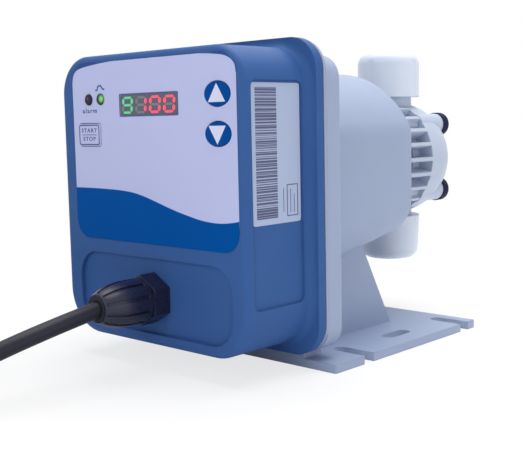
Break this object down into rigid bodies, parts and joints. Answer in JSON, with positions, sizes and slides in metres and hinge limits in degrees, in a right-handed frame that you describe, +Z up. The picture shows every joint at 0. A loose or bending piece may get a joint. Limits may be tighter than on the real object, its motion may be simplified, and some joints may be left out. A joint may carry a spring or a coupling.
{
  "type": "diaphragm metering pump",
  "caption": "Solenoid diaphragm metering pump: keypad front, grey rear casing on a slotted base plate, white liquid end with suction and discharge valves",
  "frame": {"origin": "underside of the base plate, at the centre of the mounting slots", "axes": "+Z up, keypad faces -Y, liquid end towards +Y, +X to the right as seen by someone facing the keypad"},
  "size_m": [0.2098, 0.3345, 0.1337],
  "materials": {
    "blue_cover": "satin moulded",
    "keypad_film": "satin film",
    "dark_window": "smoked window",
    "black_plastic": "fine texture",
    "red_lens": "clear lens, unlit",
    "green_lens": "clear lens",
    "blue_key": "satin",
    "board_green": "solder mask",
    "black_rubber": "matt",
    "grey_casing": "fine texture moulded",
    "stainless": "turned",
    "nickel": "nickel plated",
    "cord_black": "matt PVC",
    "steel": "zinc plated",
    "bronze": "sintered",
    "white_plastic": "natural moulded",
    "copper": "enamelled wire",
    "diaphragm_ptfe": "PTFE faced",
    "ceramic": "polished ceramic"
  },
  "bodies": {
    "pump_body": {"front_cover": "blue_cover", "keypad_film": "keypad_film", "display_window": "dark_window", "display_module": "black_plastic", "alarm_lamp": "red_lens", "pulse_lamp": "green_lens", "tactile_switches": "black_plastic", "circuit_board": "board_green", "board_components": "black_plastic", "cover_gasket": "black_rubber", "rear_casing": "grey_casing", "cover_screws": "stainless", "gland_body": "black_plastic", "gland_locknut": "black_plastic", "gland_nut": "black_plastic", "gland_seal": "black_rubber", "power_cord": "cord_black", "cord_coil": "cord_black", "plug_body": "cord_black", "plug_pins": "nickel", "solenoid_can": "steel", "fixed_pole": "steel", "pole_bushing": "bronze", "coil_bobbin": "white_plastic", "coil_winding": "copper", "stop_plate": "steel", "stop_bumper": "black_rubber", "head_flange": "white_plastic", "rod_bushing": "bronze", "diaphragm": "diaphragm_ptfe", "pump_head": "white_plastic", "head_bolts": "stainless", "bolt_caps": "black_plastic", "valve_orings": "black_rubber", "suction_seat": "white_plastic", "suction_cage": "white_plastic", "suction_nozzle": "white_plastic", "suction_nut": "white_plastic", "discharge_seat": "white_plastic", "discharge_cage": "white_plastic", "discharge_nozzle": "white_plastic", "discharge_nut": "white_plastic"},
    "plunger": {"armature": "steel", "push_rod": "stainless", "return_spring": "steel", "diaphragm_core": "stainless"},
    "suction_ball_body": {"suction_ball": "ceramic"},
    "discharge_ball_body": {"discharge_ball": "ceramic"},
    "up_key_body": {"up_key": "blue_key"},
    "down_key_body": {"down_key": "blue_key"},
    "start_stop_key_body": {"start_stop_key": "keypad_film"}
  },
  "joints": [
    {"name": "stroke_slide", "type": "slide", "parent": "pump_body", "child": "plunger", "axis": [0, 1, 0], "range_m": [0, 0.00125], "stiffness_N_per_m": 4000, "springref_m": -0.003},
    {"name": "suction_ball_lift", "type": "slide", "parent": "pump_body", "child": "suction_ball_body", "axis": [0, 0, 1], "range_m": [0, 0.0015]},
    {"name": "discharge_ball_lift", "type": "slide", "parent": "pump_body", "child": "discharge_ball_body", "axis": [0, 0, 1], "range_m": [0, 0.0015]},
    {"name": "up_key_press", "type": "slide", "parent": "pump_body", "child": "up_key_body", "axis": [0, 1, 0], "range_m": [0, 0.0005], "stiffness_N_per_m": 600, "springref_m": -0.0005},
    {"name": "down_key_press", "type": "slide", "parent": "pump_body", "child": "down_key_body", "axis": [0, 1, 0], "range_m": [0, 0.0005], "stiffness_N_per_m": 600, "springref_m": -0.0005},
    {"name": "start_stop_key_press", "type": "slide", "parent": "pump_body", "child": "start_stop_key_body", "axis": [0, 1, 0], "range_m": [0, 0.0005], "stiffness_N_per_m": 600, "springref_m": -0.0005}
  ]
}
